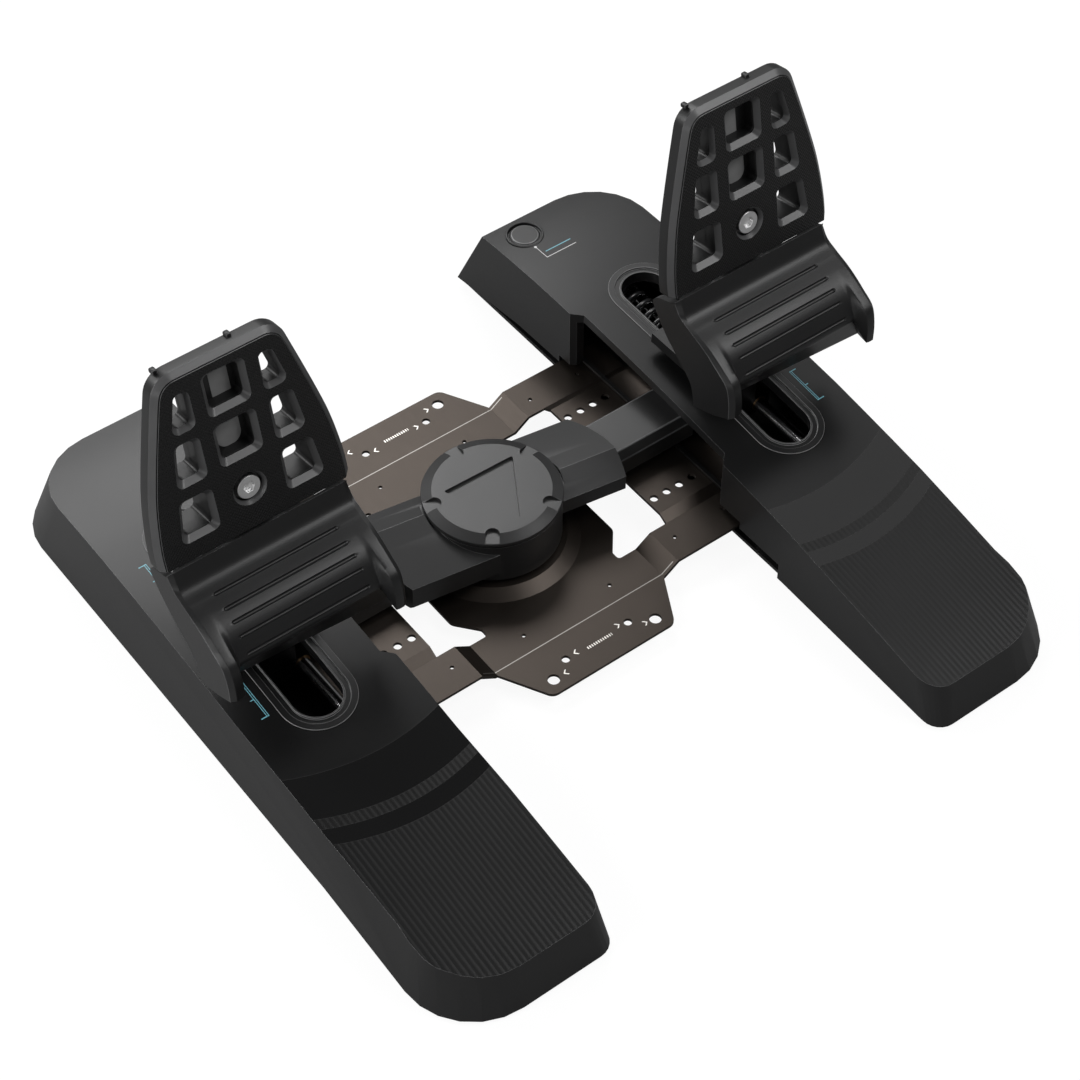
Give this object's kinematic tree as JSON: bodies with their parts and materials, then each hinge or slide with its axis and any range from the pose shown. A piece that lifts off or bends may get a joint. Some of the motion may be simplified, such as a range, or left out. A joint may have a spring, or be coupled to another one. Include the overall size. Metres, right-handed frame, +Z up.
{
  "type": "flight simulator rudder pedals",
  "caption": "Flight simulator rudder pedals: two sliding pedals with tipping toe brakes and heel rests, joined by a rocker arm on a central pressed plate.",
  "frame": {"origin": "hub axis on the floor, at the middle of the underside of the centre rubber pad", "axes": "+Z up, +Y from the heels to the toes, +X to the user's right"},
  "size_m": [0.432, 0.4428, 0.2541],
  "materials": {
    "plate_metal": "metallic brown grey, satin",
    "rubber": "matt",
    "steel": "brushed",
    "spring_black": "gloss black",
    "bronze": "sintered",
    "board_green": "satin",
    "magnet": "plated",
    "arm_plastic": "satin",
    "shell_plastic": "satin",
    "black_plastic": "satin",
    "pedal_plastic": "satin",
    "grip_plastic": "knurled"
  },
  "bodies": {
    "base": {"base_plate": "plate_metal", "base_feet": "rubber", "hub_post": "steel", "hub_post_screws": "steel", "hub_circlip": "steel", "hub_sensor": "board_green"},
    "rocker": {"hub_body": "arm_plastic", "hub_bushes": "bronze", "hub_cap": "arm_plastic", "hub_magnet": "magnet"},
    "arm_left": {"arm_tube_left": "arm_plastic", "drive_fork_left": "steel"},
    "arm_right": {"arm_tube_right": "arm_plastic", "drive_fork_right": "steel"},
    "housing_left": {"upper_shell_left": "shell_plastic", "lower_tray_left": "black_plastic", "slot_bezel_left": "black_plastic", "guide_rods_left": "steel", "rod_blocks_left": "black_plastic", "centring_spring_left": "spring_black", "housing_feet_left": "rubber", "housing_screws_left": "steel"},
    "housing_right": {"upper_shell_right": "shell_plastic", "lower_tray_right": "black_plastic", "slot_bezel_right": "black_plastic", "guide_rods_right": "steel", "rod_blocks_right": "black_plastic", "centring_spring_right": "spring_black", "housing_feet_right": "rubber", "housing_screws_right": "steel", "circuit_board": "board_green", "usb_socket": "steel"},
    "button": {"mode_button": "black_plastic"},
    "slider_left": {"carriage_left": "black_plastic", "rod_bushes_left": "bronze", "drive_pin_left": "steel", "pedal_post_left": "black_plastic", "heel_rest_left": "pedal_plastic", "brake_axle_left": "steel", "brake_springs_left": "steel"},
    "slider_right": {"carriage_right": "black_plastic", "rod_bushes_right": "bronze", "drive_pin_right": "steel", "pedal_post_right": "black_plastic", "heel_rest_right": "pedal_plastic", "brake_axle_right": "steel", "brake_springs_right": "steel"},
    "pedal_left": {"pedal_frame_left": "pedal_plastic", "grip_plate_left": "grip_plastic", "cap_screw_left": "steel"},
    "pedal_right": {"pedal_frame_right": "pedal_plastic", "grip_plate_right": "grip_plastic", "cap_screw_right": "steel"}
  },
  "joints": [
    {"name": "width_left", "type": "slide", "parent": "base", "child": "housing_left", "axis": [1, 0, 0], "range_m": [0, 0.0275]},
    {"name": "width_right", "type": "slide", "parent": "base", "child": "housing_right", "axis": [-1, 0, 0], "range_m": [0, 0.0275]},
    {"name": "hub_swing", "type": "hinge", "parent": "base", "child": "rocker", "pos_m": [0, 0, 0.0285], "axis": [0, 0, 1], "range_deg": [-14.01, 14.01]},
    {"name": "tube_left", "type": "slide", "parent": "rocker", "child": "arm_left", "axis": [1, 0, 0], "range_m": [0, 0.0275]},
    {"name": "tube_right", "type": "slide", "parent": "rocker", "child": "arm_right", "axis": [-1, 0, 0], "range_m": [0, 0.0275]},
    {"name": "rudder_left", "type": "slide", "parent": "housing_left", "child": "slider_left", "axis": [0, 1, 0], "range_m": [-0.03665, 0.03665], "stiffness_N_per_m": 800, "deforming": ["centring_spring_left"]},
    {"name": "rudder_right", "type": "slide", "parent": "housing_right", "child": "slider_right", "axis": [0, 1, 0], "range_m": [-0.03665, 0.03665], "stiffness_N_per_m": 800, "deforming": ["centring_spring_right"]},
    {"name": "brake_left", "type": "hinge", "parent": "slider_left", "child": "pedal_left", "pos_m": [-0.16, -0.012, 0.138], "axis": [-1, 0, 0], "range_deg": [0, 16], "stiffness_Nm_per_rad": 10, "springref_deg": -5.16, "deforming": ["brake_springs_left"]},
    {"name": "brake_right", "type": "hinge", "parent": "slider_right", "child": "pedal_right", "pos_m": [0.16, -0.012, 0.138], "axis": [-1, 0, 0], "range_deg": [0, 16], "stiffness_Nm_per_rad": 10, "springref_deg": -5.16, "deforming": ["brake_springs_right"]},
    {"name": "mode_press", "type": "slide", "parent": "housing_right", "child": "button", "axis": [0, 0, -1], "range_m": [0, 0.0012], "stiffness_N_per_m": 400, "springref_m": -0.0006}
  ],
  "couplings": [
    {"joint": "hub_swing", "follows": "rudder_right", "rad_per_m": 6.6667},
    {"joint": "rudder_left", "follows": "rudder_right", "ratio": -1},
    {"joint": "tube_left", "follows": "width_left", "ratio": 1},
    {"joint": "tube_right", "follows": "width_right", "ratio": 1}
  ]
}
